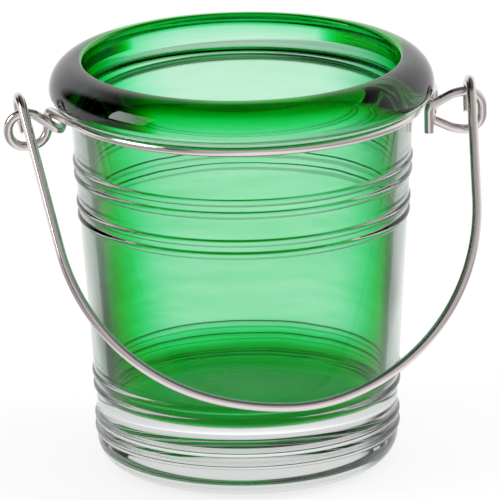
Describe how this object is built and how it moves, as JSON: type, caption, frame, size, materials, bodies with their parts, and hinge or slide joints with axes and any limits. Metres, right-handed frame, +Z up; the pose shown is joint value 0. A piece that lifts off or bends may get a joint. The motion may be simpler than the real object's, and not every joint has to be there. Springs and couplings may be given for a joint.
{
  "type": "votive candle holder",
  "caption": "Small glass pail for a votive candle, with a rolled rim, paired ribs, a wire round its neck and a wire bail that swings.",
  "frame": {"origin": "centre of the glass's flat base, on the surface it stands on", "axes": "+Z up along the glass's axis; the wire eyes lie along X; the bail leans on the front, towards -Y"},
  "size_m": [0.0885, 0.07, 0.076],
  "materials": {
    "glass": "gloss",
    "wire": "polished"
  },
  "bodies": {
    "holder": {"glass_cup": "glass", "neck_wire": "wire"},
    "bail": {"bail_handle": "wire"}
  },
  "joints": [
    {"name": "bail_swing", "type": "hinge", "parent": "holder", "child": "bail", "pos_m": [0, -0.0002, 0.0672], "axis": [-1, 0, 0], "range_deg": [0, 265]}
  ]
}
